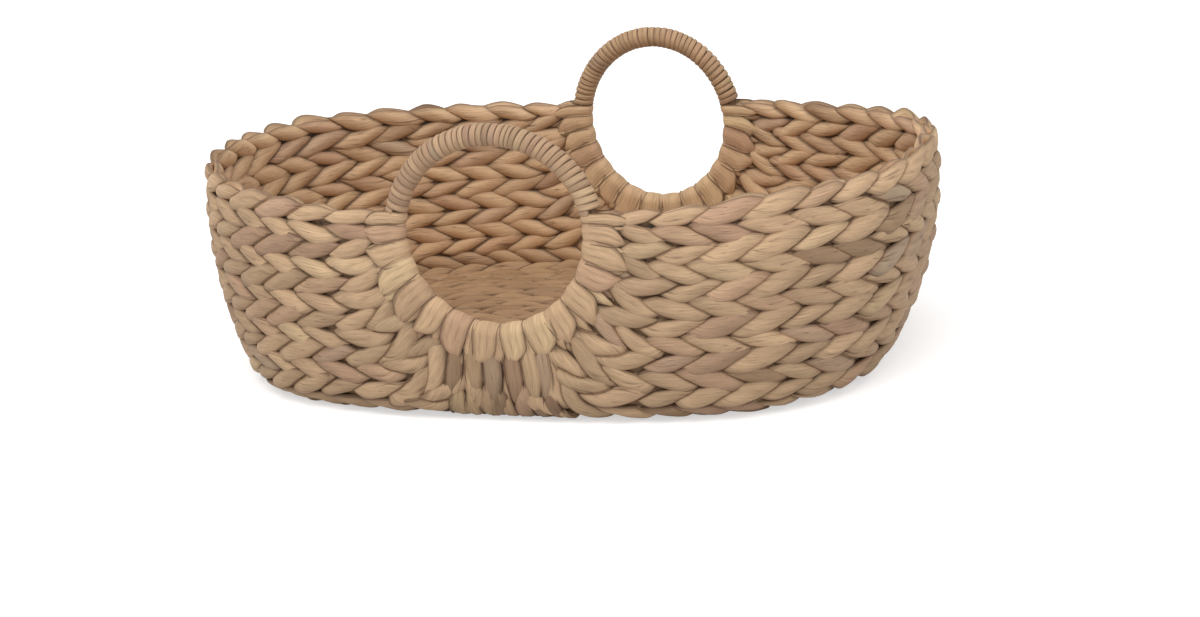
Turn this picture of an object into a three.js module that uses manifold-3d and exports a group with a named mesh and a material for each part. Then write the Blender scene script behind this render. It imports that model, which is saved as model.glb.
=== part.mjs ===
// An open oval basket twined from water hyacinth, with a round handle in each long wall.
// Millimetres, +Z up, the long axis along X, the front handle towards -Y.
// The origin is on the ground under the middle of the basket.
import * as THREE from 'three';
import { mergeVertices } from 'three/addons/utils/BufferGeometryUtils.js';
import Module from 'manifold-3d';

// The body, measured over the weave
const bodyLength = 597;
const bodyDepth = 400;
const wallHeight = 160;
const endHeight = 171;
const wallThickness = 16;
const footRadius = 24;

// How the wall leans, in degrees from upright: minus is inwards at the rim, plus at the foot
const sideLeanTop = -4;
const sideLeanFoot = 5;
const endLeanTop = -3;
const endLeanFoot = 27;

// How square the oval is: 2 is an ellipse
const rimPower = 2.3;
const footPower = 2.9;

// The handles, each bent by hand, so the two differ a little
const handleCentreHeight = 145;
const handleHoleHeight = 133;
const frontHoleWidth = 138;
const backHoleWidth = 120;
const frontHandleShift = 5;
const backHandleShift = 22;
const handleThickness = 17;
const hoopThickness = 10.4;
const foldClearance = 0.6;

// The courses of the wall
const coursesPerHalf = 7;
const wovenDepth = 182;
const rowEdge = 5.4;
const gapBetweenCourses = 0.35;
const foldEdgeShare = 0.6;

// How the rows fan out from a handle: they crowd a little towards the rim, and the way from the
// hoop to where a row lies level is longest for the rows at the rim
const crowdingPower = 1.12;
const rimReach = 84;
const lowReach = 32;
const reachPower = 4;
const rimLeadShare = 0.45;
const lowLeadShare = 0.9;
const leadPower = 6;
const tailShare = 0.5;

// The wire frame between the two layers of the wall
const wireThickness = 3;
const wireClearance = 0.8;

// The winding of the handles
const windingLoops = 22;
const windingCoverShare = 0.92;
const windingEdgeShare = 0.6;
const windingEndGap = 1;

// The base
const baseCourses = 5;
const baseStartDepth = 54;
const baseEdgeHeight = 13.5;
const baseTipShare = 0.25;

// The section of a course, as shares of its width: edge, row, edge, row, edge
const sectionShares = [0, 0.25, 0.5, 0.75, 1];

// Where sections are taken: shares of the way from a handle to the end of the basket
const stationShares = [0, 0.04, 0.08, 0.125, 0.19, 0.28, 0.375, 0.5, 0.625, 0.75, 0.875, 1];
const uprightShares = [0.125, 0.5, 1];
const bendStation = 4;
const foldSteps = 4;
const hoopSteps = 36;
const hoopSides = 6;
const windingSteps = 10;
const wireSides = 4;
const ovalSteps = 240;

const halfWall = wallThickness / 2;
const middleRadius = footRadius - halfWall;
const slotHalf = wireThickness / 2 + wireClearance;
const hoopRadius = hoopThickness / 2;
const foldInside = hoopRadius + foldClearance;
const handleRadius = handleThickness / 2;
const handleDrop = wallHeight - handleCentreHeight;
const hoopHalfHeight = handleHoleHeight / 2 + handleRadius;

const radians = THREE.MathUtils.degToRad;
const lerp = THREE.MathUtils.lerp;

// One profile of the middle of the wall: an arc down the wall, an arc round the foot, then flat
function makeProfile(halfSpan, topHeight, leanTop, leanFoot) {
  const from = radians(leanTop);
  const to = radians(leanFoot);
  const turn = to - from;
  const footDrop = middleRadius * (1 - Math.sin(to));
  const wallDrop = topHeight - halfWall - footDrop;
  const wallLength = wallDrop * turn / (Math.sin(to) - Math.sin(from));
  const footLength = middleRadius * (Math.PI / 2 - to);
  const bend = wallLength / turn;
  const widest = halfSpan - halfWall;
  const footTop = widest - bend * (1 - Math.cos(to));
  function at(wallShare, footShare, inward) {
    if (wallShare < 0) {
      const up = -wallShare * wallLength;
      const rim = widest - bend * (1 - Math.cos(from));
      return [rim + up * Math.sin(from), topHeight + up * Math.cos(from)];
    }
    if (footShare <= 0) {
      const lean = from + turn * wallShare;
      const drop = bend * (Math.sin(lean) - Math.sin(from));
      return [widest - bend * (1 - Math.cos(lean)), topHeight - drop];
    }
    const lean = to + (Math.PI / 2 - to) * footShare;
    const inset = middleRadius * (Math.cos(to) - Math.cos(lean)) + inward;
    const height = halfWall + middleRadius * (1 - Math.sin(lean));
    return [footTop - inset, height];
  }
  return { wallLength, footLength, at };
}

const sideProfile = makeProfile(bodyDepth / 2, wallHeight, sideLeanTop, sideLeanFoot);
const endProfile = makeProfile(bodyLength / 2, endHeight, endLeanTop, endLeanFoot);
const footStart = sideProfile.wallLength;
const footEnd = footStart + sideProfile.footLength;

// The base courses share the way from the lowest row of the wall to the start of the base
const baseHalfDepth = sideProfile.at(1, 1, Math.max(0, wovenDepth - footEnd))[0];
const baseCourseWidth = (baseHalfDepth - baseStartDepth / 2) / baseCourses;

// A quarter of the oval at the rim, as a table of the way walked along it
const rimHalfLength = endProfile.at(0, 0, 0)[0];
const rimHalfDepth = sideProfile.at(0, 0, 0)[0];

function ovalDepthShare(lengthShare, power) {
  const rest = Math.max(0, 1 - Math.abs(lengthShare) ** power);
  return rest ** (1 / power);
}

function walkQuarter() {
  const walked = [0];
  const shares = [0];
  let last = [0, rimHalfDepth];
  for (let i = 1; i <= ovalSteps; i += 1) {
    const share = Math.sin(Math.PI / 2 * i / ovalSteps);
    const next = [rimHalfLength * share, rimHalfDepth * ovalDepthShare(share, rimPower)];
    walked.push(walked[i - 1] + Math.hypot(next[0] - last[0], next[1] - last[1]));
    shares.push(share);
    last = next;
  }
  return { walked, shares, length: walked[ovalSteps] };
}

const quarter = walkQuarter();

function lengthShareAt(way) {
  const sign = Math.sign(way);
  const distance = Math.min(Math.abs(way), quarter.length);
  let i = 1;
  while (i < ovalSteps && quarter.walked[i] < distance) {
    i += 1;
  }
  const span = quarter.walked[i] - quarter.walked[i - 1];
  const part = (distance - quarter.walked[i - 1]) / span;
  return sign * lerp(quarter.shares[i - 1], quarter.shares[i], part);
}

// A point on the middle of the wall. way runs along X from the middle of a long wall,
// down runs from the rim, and side is -1 at the front and 1 at the back.
function wallPoint(way, down, side) {
  const wallShare = Math.min(1, down / footStart);
  const footShare = THREE.MathUtils.clamp((down - footStart) / (footEnd - footStart), 0, 1);
  const inward = Math.max(0, down - footEnd);
  const along = endProfile.at(wallShare, footShare, inward);
  const across = sideProfile.at(wallShare, footShare, inward);
  const share = lengthShareAt(way);
  const power = lerp(rimPower, footPower, THREE.MathUtils.clamp(wallShare, 0, 1));
  const height = lerp(across[1], along[1], share * share);
  return new THREE.Vector3(
    along[0] * share,
    side * across[0] * ovalDepthShare(share, power),
    height,
  );
}

// The outward direction of the wall, from two short steps on it
const probe = wallThickness / 32;

function wallNormal(way, down, side) {
  const reach = quarter.length - probe;
  const middle = THREE.MathUtils.clamp(way, -reach, reach);
  const alongWall = wallPoint(middle + probe, down, side).sub(wallPoint(middle - probe, down, side));
  const downWall = wallPoint(middle, down + probe, side).sub(wallPoint(middle, down - probe, side));
  const normal = alongWall.cross(downWall).normalize();
  return side < 0 ? normal.negate() : normal;
}

// The two handles: where the hoop's middle line lies on the wall
const handles = {
  front: { side: -1, shift: frontHandleShift, halfWidth: frontHoleWidth / 2 + handleRadius },
  back: { side: 1, shift: backHandleShift, halfWidth: backHoleWidth / 2 + handleRadius },
};
const rimAngle = Math.asin(handleDrop / hoopHalfHeight);

// A place round a hoop: angle runs from +X upwards, round is the angle about the hoop's own
// middle line from outwards, and radius is measured from that line.
function hoopPlace(handle, angle, round, radius) {
  const flat = (grow) => {
    const way = handle.shift + (handle.halfWidth + grow) * Math.cos(angle);
    const down = handleDrop - (hoopHalfHeight + grow) * Math.sin(angle);
    return [way, down];
  };
  const [way, down] = flat(0);
  const [wayIn, downIn] = flat(-probe);
  const centre = wallPoint(way, down, handle.side);
  const normal = wallNormal(way, down, handle.side);
  const inward = wallPoint(wayIn, downIn, handle.side).sub(centre);
  inward.addScaledVector(normal, -inward.dot(normal)).normalize();
  centre.addScaledVector(normal, radius * Math.cos(round));
  return centre.addScaledVector(inward, radius * Math.sin(round));
}

// Where a row starts on its hoop, as an angle from +X upwards on the right half
function startAngle(row) {
  return lerp(rimAngle, -Math.PI / 2, row ** crowdingPower);
}

// The line that a row follows over a quarter of the wall: away from its hoop in one long bend,
// then level to the end. row runs from 0 at the rim to 1 at the lowest row, half is 1 to the
// right and -1 to the left.
function quarterLine(row, handle, half) {
  const angle = startAngle(row);
  const heading = Math.PI / 2 * row ** crowdingPower;
  const startWay = handle.halfWidth * Math.cos(angle);
  const startDown = handleDrop - hoopHalfHeight * Math.sin(angle);
  const reach = lerp(rimReach, lowReach, row ** reachPower);
  const levelWay = startWay + reach;
  const levelDown = row * wovenDepth;
  const leadShare = lerp(rimLeadShare, lowLeadShare, row ** leadPower);
  const lead = leadShare * Math.hypot(reach, levelDown - startDown);
  const bend = new THREE.CubicBezierCurve(
    new THREE.Vector2(startWay, startDown),
    new THREE.Vector2(startWay + lead * Math.cos(heading), startDown + lead * Math.sin(heading)),
    new THREE.Vector2(levelWay - tailShare * reach, levelDown),
    new THREE.Vector2(levelWay, levelDown),
  );
  const levelFrom = bend.getLength();
  const centred = levelFrom + quarter.length - levelWay;
  return (share) => {
    const gone = share * centred - share * share * half * handle.shift;
    if (gone < levelFrom) {
      const place = bend.getPointAt(gone / levelFrom);
      return [handle.shift + half * place.x, place.y];
    }
    return [handle.shift + half * (levelWay + gone - levelFrom), levelDown];
  };
}

// A place in the wall: share runs 0 to 1 from the handle to the end, out from the middle
function placeInWall(line, handle, share, out) {
  const [way, down] = line(share);
  const point = wallPoint(way, down, handle.side);
  return point.addScaledVector(wallNormal(way, down, handle.side), out);
}

// A closed skin over rings of points. Facing sides of neighbours are split the same way.
function skin(rings, joined) {
  const count = rings[0].length;
  const positions = rings.flat().flatMap((point) => point.toArray());
  const index = [];
  const last = joined ? rings.length : rings.length - 1;
  for (let i = 0; i < last; i += 1) {
    const here = i * count;
    const there = ((i + 1) % rings.length) * count;
    for (let k = 0; k < count; k += 1) {
      const next = (k + 1) % count;
      if (k < count / 2) {
        index.push(here + k, here + next, there + next, here + k, there + next, there + k);
      } else {
        index.push(here + k, here + next, there + k, here + next, there + next, there + k);
      }
    }
  }
  if (!joined) {
    const tail = (rings.length - 1) * count;
    for (let k = 1; k < count - 1; k += 1) {
      index.push(0, k + 1, k);
      index.push(tail, tail + k, tail + k + 1);
    }
  }
  const geometry = new THREE.BufferGeometry();
  geometry.setAttribute('position', new THREE.Float32BufferAttribute(positions, 3));
  geometry.setIndex(index);
  return facingOut(geometry);
}

function signedVolume(geometry) {
  const position = geometry.getAttribute('position');
  const index = geometry.getIndex();
  const corner = [0, 1, 2].map(() => new THREE.Vector3());
  let six = 0;
  for (let i = 0; i < index.count; i += 3) {
    corner.forEach((point, k) => point.fromBufferAttribute(position, index.getX(i + k)));
    six += corner[0].dot(corner[1].clone().cross(corner[2]));
  }
  return six / 6;
}

function facingOut(geometry) {
  if (signedVolume(geometry) < 0) {
    const index = geometry.getIndex();
    for (let i = 0; i < index.count; i += 3) {
      const second = index.getX(i + 1);
      index.setX(i + 1, index.getX(i + 2));
      index.setX(i + 2, second);
    }
  }
  geometry.computeVertexNormals();
  return geometry;
}

// One course: outside layer, fold round the back hoop, inside layer, fold round the front hoop.
// Each layer shows two rounded rows, and the fold is one broad leaf.
function makeCourse(half, number) {
  const band = 1 / coursesPerHalf;
  const trim = gapBetweenCourses / 2 / wovenDepth;
  const first = (number - 1) * band + trim;
  const last = number * band - trim;
  const rows = sectionShares.map((share) => lerp(first, last, share));
  const bendsRoundFoot = last * wovenDepth > footStart;
  const back = bendsRoundFoot ? [0, 2, 4] : [0, 4];
  const order = [...back, 4, 3, 2, 1, 0];
  const outsFrom = (inside, edge, crown, middle) => (
    [...back.map(() => inside), edge, crown, middle, crown, edge]);
  const lines = {};
  for (const [name, handle] of Object.entries(handles)) {
    lines[name] = rows.map((row) => quarterLine(row, handle, half));
  }
  const foldEdge = lerp(foldInside, handleRadius, foldEdgeShare);
  const foldOuts = outsFrom(foldInside, foldEdge, handleRadius, handleRadius);
  const layerOuts = outsFrom(slotHalf, rowEdge, halfWall, rowEdge);
  const layerRing = (name, share, face) => {
    const handle = handles[name];
    const outs = share === 0 ? foldOuts : layerOuts;
    return order.map((k, i) => placeInWall(lines[name][k], handle, share, face * outs[i]));
  };
  const foldRing = (name, round) => order.map((k, i) => {
    const right = startAngle(rows[k]);
    const angle = half > 0 ? right : Math.PI - right;
    return hoopPlace(handles[name], angle, round, foldOuts[i]);
  });
  const rings = [];
  const outward = stationShares;
  const inward = [...stationShares].reverse();
  outward.forEach((share) => rings.push(layerRing('front', share, 1)));
  inward.slice(1).forEach((share) => rings.push(layerRing('back', share, 1)));
  for (let i = 1; i < foldSteps; i += 1) {
    rings.push(foldRing('back', Math.PI * i / foldSteps));
  }
  outward.forEach((share) => rings.push(layerRing('back', share, -1)));
  inward.slice(1).forEach((share) => rings.push(layerRing('front', share, -1)));
  for (let i = foldSteps - 1; i > 0; i -= 1) {
    rings.push(foldRing('front', Math.PI * i / foldSteps));
  }
  return skin(rings, true);
}

// The hoop inside each handle, a closed ring
function makeHoop(handle) {
  const rings = [];
  for (let i = 0; i < hoopSteps; i += 1) {
    const angle = 2 * Math.PI * i / hoopSteps;
    const ring = [];
    for (let k = 0; k < hoopSides; k += 1) {
      ring.push(hoopPlace(handle, angle, 2 * Math.PI * (k + 0.5) / hoopSides, hoopRadius));
    }
    rings.push(ring);
  }
  return skin(rings, true);
}

// The leaf wound round the upper part of a hoop, one unbroken strip
function makeWinding(handle, name) {
  const endTrim = windingEndGap / hoopHalfHeight;
  const from = rimAngle + endTrim;
  const to = Math.PI - rimAngle - endTrim;
  const pitch = (to - from) / (windingLoops + windingCoverShare);
  const halfCover = pitch * windingCoverShare / 2;
  const edge = lerp(foldInside, handleRadius, windingEdgeShare);
  const section = [
    [-1, foldInside],
    [1, foldInside],
    [1, edge],
    [0, handleRadius],
    [-1, edge],
  ];
  const rings = [];
  const steps = windingLoops * windingSteps;
  for (let i = 0; i <= steps; i += 1) {
    const turn = i / windingSteps;
    const angle = from + halfCover + pitch * turn;
    const round = 2 * Math.PI * turn;
    rings.push(section.map(([along, radius]) => (
      hoopPlace(handle, angle + along * halfCover, round, radius))));
  }
  console.log(`${name} winding: least gap to itself ${leastGap(rings).toFixed(2)} mm`);
  return skin(rings, false);
}

// The least gap between one loop's leading edges and the next loop's trailing edges
function leastGap(rings) {
  let least = Infinity;
  const pairs = [[1, 0], [2, 4]];
  for (let i = 0; i + windingSteps < rings.length; i += 1) {
    for (const [ahead, behind] of pairs) {
      const next = rings[i + windingSteps];
      least = Math.min(least, rings[i][ahead].distanceTo(next[behind]));
    }
  }
  return least;
}

// A wire along points, mitred at each of them
function wireAlong(points, joined) {
  const radius = wireThickness / 2;
  const count = points.length;
  const step = (i) => points[(i + 1) % count].clone().sub(points[i]).normalize();
  let up = new THREE.Vector3(0, 0, 1);
  if (Math.abs(step(0).dot(up)) > Math.SQRT1_2) {
    up = new THREE.Vector3(1, 0, 0).addScaledVector(step(0), -step(0).x).normalize();
  }
  const rings = points.map((point, i) => {
    const before = i > 0 || joined ? step((i + count - 1) % count) : step(i);
    const after = i < count - 1 || joined ? step(i) : before;
    const ahead = before.clone().add(after).normalize();
    up.addScaledVector(ahead, -up.dot(ahead)).normalize();
    const across = ahead.clone().cross(up);
    return Array.from({ length: wireSides }, (_, k) => {
      const angle = 2 * Math.PI * (k + 0.5) / wireSides;
      return point.clone()
        .addScaledVector(up, radius * Math.cos(angle))
        .addScaledVector(across, radius * Math.sin(angle));
    });
  });
  return skin(rings, joined);
}

const wasm = await Module();
wasm.setup();

function solidFrom(geometry) {
  const bare = geometry.clone();
  bare.deleteAttribute('normal');
  const merged = mergeVertices(bare);
  return new wasm.Manifold(new wasm.Mesh({
    numProp: 3,
    vertProperties: new Float32Array(merged.getAttribute('position').array),
    triVerts: new Uint32Array(merged.getIndex().array),
  }));
}

function geometryFrom(solid) {
  const mesh = solid.getMesh();
  const geometry = new THREE.BufferGeometry();
  geometry.setAttribute('position', new THREE.BufferAttribute(mesh.vertProperties, 3));
  geometry.setIndex(new THREE.BufferAttribute(mesh.triVerts, 1));
  geometry.computeVertexNormals();
  return geometry;
}

// Rim wire and foot wire of both halves, and the uprights between them. The uprights next to
// a handle meet under it, so the four halves hold together.
function makeFrame() {
  const wires = [];
  const first = uprightShares[0];
  const hoopRow = 0.5 / coursesPerHalf;
  const hoopShares = stationShares.filter((share) => share >= first);
  for (const half of [1, -1]) {
    for (const row of [hoopRow, 1 - hoopRow]) {
      const front = quarterLine(row, handles.front, half);
      const back = quarterLine(row, handles.back, half);
      const points = hoopShares.map((share) => placeInWall(front, handles.front, share, 0));
      [...hoopShares].reverse().slice(1).forEach((share) => {
        points.push(placeInWall(back, handles.back, share, 0));
      });
      wires.push(wireAlong(points, false));
    }
    for (const share of uprightShares) {
      wires.push(wireAlong(uprightPoints(handles.front, half, share), false));
      if (share < 1) {
        wires.push(wireAlong(uprightPoints(handles.back, half, share), false));
      }
    }
  }
  const joined = wires.map(solidFrom).reduce((sum, solid) => sum.add(solid));
  return geometryFrom(joined);
}

function uprightPoints(handle, half, share) {
  const steps = 2 * coursesPerHalf;
  const points = [];
  for (let i = 1; i < steps; i += 1) {
    points.push(placeInWall(quarterLine(i / steps, handle, half), handle, share, 0));
  }
  if (share === uprightShares[0]) {
    const lowest = quarterLine(1, handle, half)(share)[1];
    points.push(wallPoint(handle.shift, lowest, handle.side));
  }
  return points;
}

// Places round the base, at the sections of the lowest row of the wall. row picks the line that
// they are on, and down, where it is given, moves them straight to a line further in.
function baseLoop(row, down) {
  const shares = stationShares.slice(bendStation);
  const tipShare = lerp(stationShares[bendStation - 1], stationShares[bendStation], baseTipShare);
  const places = [];
  for (const name of ['front', 'back']) {
    const handle = handles[name];
    const halves = name === 'front' ? [-1, 1] : [1, -1];
    for (const half of halves) {
      const line = quarterLine(row, handle, half);
      const place = (way, lineDown) => wallPoint(way, down ?? lineDown, handle.side);
      const quarterPlaces = shares.map((share) => place(...line(share)));
      if (half === halves[0]) {
        places.push(...quarterPlaces.reverse().slice(1), place(handle.shift, line(tipShare)[1]));
      } else {
        places.push(...quarterPlaces);
      }
    }
  }
  return places;
}

// The outermost course fills the corner between the two lowest rows under each handle
function makeBaseCourse(number) {
  const halfGap = gapBetweenCourses / 2;
  const outer = wovenDepth + (number - 1) * baseCourseWidth + halfGap;
  const inner = wovenDepth + number * baseCourseWidth - halfGap;
  const outerLoop = number > 1 ? baseLoop(1, outer) : baseLoop(1 + halfGap / wovenDepth);
  const innerLoop = baseLoop(1, inner);
  const middleLoop = baseLoop(1, (outer + inner) / 2);
  const loops = [outerLoop, innerLoop, innerLoop, middleLoop, outerLoop];
  const heights = [0, 0, baseEdgeHeight, wallThickness, baseEdgeHeight];
  const rings = outerLoop.map((_, i) => (
    loops.map((loop, k) => new THREE.Vector3(loop[i].x, loop[i].y, heights[k]))));
  return skin(rings, true);
}

// The start of the base: a long flat tongue that fills the smallest oval
function makeBaseStart() {
  const down = wovenDepth + baseCourses * baseCourseWidth + gapBetweenCourses / 2;
  const edge = baseLoop(1, down);
  const shape = new THREE.Shape(edge.map((point) => new THREE.Vector2(point.x, point.y)));
  const geometry = new THREE.ExtrudeGeometry(shape, { depth: baseEdgeHeight, bevelEnabled: false });
  geometry.deleteAttribute('uv');
  geometry.deleteAttribute('normal');
  return facingOut(mergeVertices(geometry));
}

const straw = new THREE.MeshStandardMaterial({ color: 0xc6a57a, roughness: 0.85, metalness: 0 });
const tan = new THREE.MeshStandardMaterial({ color: 0xb9946c, roughness: 0.85, metalness: 0 });
const brown = new THREE.MeshStandardMaterial({ color: 0x9c7652, roughness: 0.9, metalness: 0 });
const iron = new THREE.MeshStandardMaterial({ color: 0x3c3530, roughness: 0.6, metalness: 0.8 });

const basket = new THREE.Group();

function addPiece(name, geometry, material) {
  const mesh = new THREE.Mesh(geometry, material);
  mesh.name = name;
  basket.add(mesh);
}

for (let number = 1; number <= coursesPerHalf; number += 1) {
  const material = number % 2 ? straw : tan;
  addPiece(`right_course_${number}`, makeCourse(1, number), material);
  addPiece(`left_course_${number}`, makeCourse(-1, number), material);
}
for (const [name, handle] of Object.entries(handles)) {
  addPiece(`${name}_handle_hoop`, makeHoop(handle), brown);
  addPiece(`${name}_handle_winding`, makeWinding(handle, name), straw);
}
addPiece('wire_frame', makeFrame(), iron);
for (let number = 1; number <= baseCourses; number += 1) {
  addPiece(`base_course_${number}`, makeBaseCourse(number), number % 2 ? tan : straw);
}
addPiece('base_start', makeBaseStart(), brown);

export default basket;
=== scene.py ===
"""An open oval basket twined from water hyacinth, with a round handle in each long wall.

Each wall course is two rows of countered twining: two flat leaves that pass each other between
the stakes, so one lies outside at a stake while the other lies inside. The courses start as
leaves folded round the handle hoops. The base is twined in ovals round a straight start.
"""

import math
from collections import namedtuple

import bpy
import numpy as np
from bpy.props import FloatProperty, FloatVectorProperty, IntProperty, PointerProperty
from bpy.types import Operator, Panel, PropertyGroup
from mathutils import Matrix, Vector


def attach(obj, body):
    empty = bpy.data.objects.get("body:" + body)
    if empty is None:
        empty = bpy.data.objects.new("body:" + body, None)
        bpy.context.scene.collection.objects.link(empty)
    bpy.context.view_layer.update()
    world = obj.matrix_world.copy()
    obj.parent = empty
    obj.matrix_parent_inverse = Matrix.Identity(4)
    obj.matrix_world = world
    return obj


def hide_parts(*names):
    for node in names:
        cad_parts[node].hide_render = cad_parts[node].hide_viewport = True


bl_info = {
    "name": "Water Hyacinth Basket",
    "version": (1, 0, 0),
    "blender": (4, 5, 0),
    "location": "View3D > Sidebar > Basket",
    "description": "Twines an oval basket with two round handles from water hyacinth leaves",
    "category": "Add Mesh",
}

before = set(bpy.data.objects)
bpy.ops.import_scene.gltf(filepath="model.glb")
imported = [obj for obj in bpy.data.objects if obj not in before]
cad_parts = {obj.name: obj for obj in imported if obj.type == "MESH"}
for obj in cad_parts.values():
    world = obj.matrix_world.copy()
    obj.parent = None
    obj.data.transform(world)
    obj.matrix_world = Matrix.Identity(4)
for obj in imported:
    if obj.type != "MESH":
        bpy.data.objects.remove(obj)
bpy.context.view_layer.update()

HALVES = {"right": 1, "left": -1}
COURSES = 7
ROWS = 2 * COURSES
BASE_COURSES = 5

# How finely a line is drawn: a quarter of the rim, half a ring of the base, the bend of a row,
# the tip and the fold of a folded leaf, a leaf at the foot, and a turn of the winding
RIM_STEPS = 240
RING_STEPS = 400
BEND_STEPS = 200
TIP_STEPS = 20
FOLD_STEPS = 14
FOOT_STEPS = 30
LOOP_STEPS = 22

# How a row bends away from its hoop: it keeps its heading longest at the rim
REACH_POWER = 4
LEAD_POWER = 6
RIM_LEAD = 0.45
LOW_LEAD = 0.9
TAIL = 0.5
ROW_START = 0.006
FLOOR_GAP = 0.00015

# The middle of the wall: flat strips between the rows, open here and there, dark with painted shade
# that stands for the deep shade between the leaves
OVERLAP = 0.53
OPEN_CHANCE = 0.035
OPEN_REACH = 0.16
CORE_PAINTED_SHADE = {
    # Painted shade: the darkest level and the dark brown colour
    "half_thick": 0.0005, "crown": 0.0, "shade": -2.5, "kind": 0.5, "dark": 1.0, "inner": 0.0,
    "tilt": 0.0,
}


def length(name, value, text):
    """A size in metres that the panel shows."""
    return FloatProperty(name=name, description=text, default=value, unit="LENGTH", precision=5)


def turn(name, degrees, text):
    """An angle that the panel shows."""
    return FloatProperty(
        name=name, description=text, default=math.radians(degrees), unit="ROTATION"
    )


def share(name, value, text):
    """A plain number that the panel shows."""
    return FloatProperty(name=name, description=text, default=value)


def whole_number(name, value, text, least=0):
    """A whole number that the panel shows."""
    return IntProperty(name=name, description=text, default=value, min=least)


def colour(name, hexcode, text):
    """A colour, written as it looks on the leaf."""
    channels = [int(hexcode[i:i + 2], 16) / 255 for i in (0, 2, 4)]
    linear = [c / 12.92 if c <= 0.04045 else ((c + 0.055) / 1.055) ** 2.4 for c in channels]
    return FloatVectorProperty(
        name=name, description=text, default=(*linear, 1.0), size=4, subtype="COLOR",
        min=0.0, max=1.0,
    )


class BasketForm(PropertyGroup):
    """The sizes of the body and the handles."""

    body_length: length("Length", 0.597, "Length over the weave")
    body_depth: length("Depth", 0.400, "Depth over the weave")
    wall_height: length("Wall height", 0.160, "Height of the rim at a handle")
    end_height: length("End height", 0.171, "Height of the rim at an end")
    wall_thickness: length("Wall thickness", 0.016, "Thickness of the twined wall")
    foot_radius: length("Foot radius", 0.024, "Outer radius between wall and base")
    side_lean_top: turn("Side lean, top", -4, "Lean of a long wall at the rim")
    side_lean_foot: turn("Side lean, foot", 5, "Lean of a long wall at its foot")
    end_lean_top: turn("End lean, top", -3, "Lean of an end at the rim")
    end_lean_foot: turn("End lean, foot", 27, "Lean of an end at its foot")
    rim_power: share("Rim squareness", 2.3, "Power of the oval at the rim; 2 is an ellipse")
    foot_power: share("Foot squareness", 2.9, "Power of the oval at the foot")
    handle_centre: length("Handle centre", 0.145, "Height of the middle of a handle")
    hole_height: length("Hole height", 0.133, "Height of the hole in a handle")
    front_hole: length("Front hole", 0.138, "Width of the hole in the front handle")
    back_hole: length("Back hole", 0.120, "Width of the hole in the back handle")
    front_shift: length("Front shift", 0.005, "How far the front handle is off the middle")
    back_shift: length("Back shift", 0.022, "How far the back handle is off the middle")
    handle_thickness: length("Handle thickness", 0.017, "Thickness of a wound handle")
    woven_depth: length("Woven depth", 0.182, "Way down the wall that the courses cover")
    crowding: share("Crowding", 1.12, "How the rows crowd towards the rim at a hoop")
    rim_reach: length("Rim reach", 0.084, "Way from the hoop to level, of the row at the rim")
    low_reach: length("Low reach", 0.032, "Way from the hoop to level, of the row at the foot")
    base_start: length("Base start", 0.054, "Depth of the start of the base")


class WeaveSizes(PropertyGroup):
    """The sizes of the leaves and of the twining."""

    stake_pitch: length("Stake pitch", 0.0350, "Way from stake to stake along the rim")
    ring_step: length("Step", 0.0018, "Way between two sections of a leaf")
    twist_width: length("Twist width", 0.0005, "How far a leaf swings across its row")
    twist_depth: length("Twist depth", 0.0039, "How far a leaf swings out and in")
    leaf_width: length("Leaf width", 0.0088, "Half the width of a leaf over a stake")
    leaf_thickness: length("Leaf thickness", 0.0034, "Half the thickness of a leaf")
    crossing: share("Crossing", 0.70, "Width of a leaf where it crosses, as a share")
    slant: share("Slant", 1.48, "How much later one edge of a leaf turns in, as a share across")
    dwell: share("Dwell", 0.6, "How soon a leaf turns in; 1 is an even swing, 0 a step")
    unevenness: share("Unevenness", 1.2, "How uneven the leaves lie")
    crease: length("Crease", 0.0007, "Depth of the creases along a leaf")
    core_step: length("Core step", 0.005, "Way between two sections of the middle of the wall")
    rim_girth: share("Rim girth", 0.86, "Size of the leaves of the row at the rim")
    base_girth: share("Base girth", 1.08, "Thickness of the leaves of the base")
    folds: whole_number("Folds", 8, "Broad leaves round half the lower part of a hoop")
    fold_spread: share("Fold spread", 1.35, "How the folded leaves widen down the hoop")
    side_reach: length("Side reach", 0.027, "Way from the hoop to the tip of a leaf at its side")
    foot_pitch: length("Foot pitch", 0.013, "Way between the leaves under a hoop")
    low_fold: length("Low fold reach", 0.022, "Way from the hoop to the tip of a leaf under it")
    winding_loops: whole_number("Winding loops", 42, "Turns of leaf round a handle")
    section_points: whole_number("Section points", 20, "Points round a leaf of the wall", 8)
    base_points: whole_number("Base points", 16, "Points round a leaf of the base", 8)
    base_step: length("Base step", 0.0024, "Way between two sections of a leaf of the base")
    seed: whole_number("Seed", 7, "Seed of everything uneven")


class LeafColours(PropertyGroup):
    """The colours of dried leaves, some also laid on as painted shade."""

    # Dark is also the colour of the painted shade in the middle of the wall and in the grooves
    dark: colour("Dark", "8A6E54", "A dark brown leaf")
    crease: colour("Crease", "4E3526", "The shade in a crease")
    pink: colour("Pinkish", "B9957A", "A pinkish brown leaf")
    tan: colour("Tan", "C8A985", "The usual tan")
    straw: colour("Straw", "D8BE94", "A yellow leaf")
    sage: colour("Sage", "B5A68C", "A grey-green leaf")
    # Rust is painted shade: the warm shade of the inside, also laid on the back winding
    rust: colour("Rust", "D0A274", "A leaf in the shade of the inside")
    core: colour("Hoop", "8C6B4C", "The padding of the hoops")
    iron: colour("Wire", "3A322C", "The wire in the wall")


def lerp(low, high, part):
    return low + (high - low) * part


def smooth(value, low, high):
    """0 below low, 1 above high, smooth between."""
    part = np.clip((value - low) / (high - low), 0, 1)
    return part * part * (3 - 2 * part)


def unit(vectors):
    return vectors / np.maximum(np.linalg.norm(vectors, axis=-1, keepdims=True), 1e-9)


def dot(first, second):
    return np.sum(first * second, axis=-1, keepdims=True)


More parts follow.
